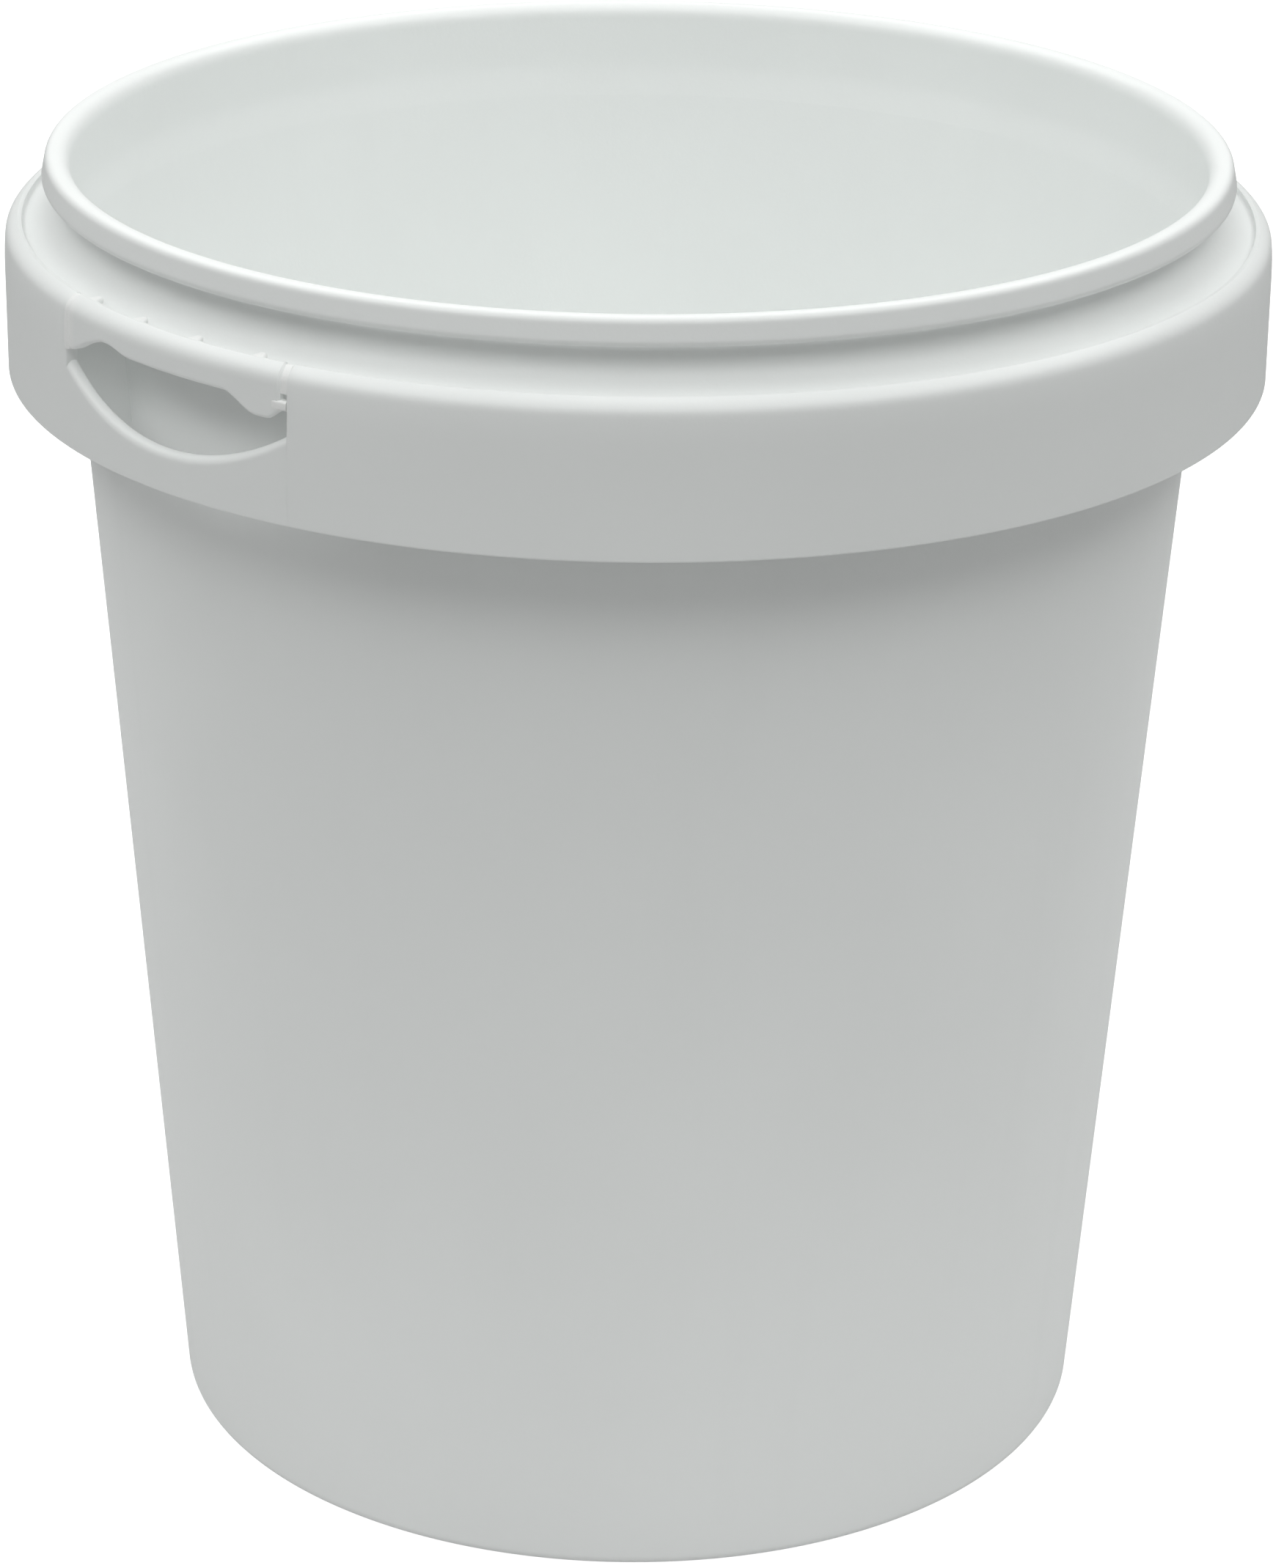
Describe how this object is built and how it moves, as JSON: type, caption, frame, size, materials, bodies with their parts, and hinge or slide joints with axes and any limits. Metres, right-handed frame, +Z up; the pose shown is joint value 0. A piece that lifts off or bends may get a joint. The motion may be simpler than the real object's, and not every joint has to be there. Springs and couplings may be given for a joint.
{
  "type": "open head drum",
  "caption": "Small tapered open head drum in white plastic with a lid bead, a tamper evident collar and a hinged tear tab over a finger opening.",
  "frame": {"origin": "centre of the standing face, on the drum's axis", "axes": "+Z up along the drum's axis, -Y to the front; the tear tab is 44.5 degrees to the left of the front"},
  "size_m": [0.21, 0.21, 0.2244],
  "materials": {
    "tub_plastic": "satin",
    "tab_plastic": "satin"
  },
  "bodies": {
    "tub": {"side_wall": "tub_plastic", "foot_ring": "tub_plastic", "floor_pan": "tub_plastic", "gate_mark": "tub_plastic", "neck": "tub_plastic", "sealing_bead": "tub_plastic", "collar_web": "tub_plastic", "collar_skirt": "tub_plastic", "collar_ribs": "tub_plastic", "hinge_film": "tub_plastic"},
    "tear_strip": {"tear_tab": "tab_plastic", "top_bridges": "tab_plastic", "end_bridge": "tab_plastic"}
  },
  "joints": [
    {"name": "tab_hinge", "type": "hinge", "parent": "tub", "child": "tear_strip", "pos_m": [-0.08963, -0.0547, 0.20935], "axis": [0, 0, -1], "range_deg": [0, 120]}
  ]
}
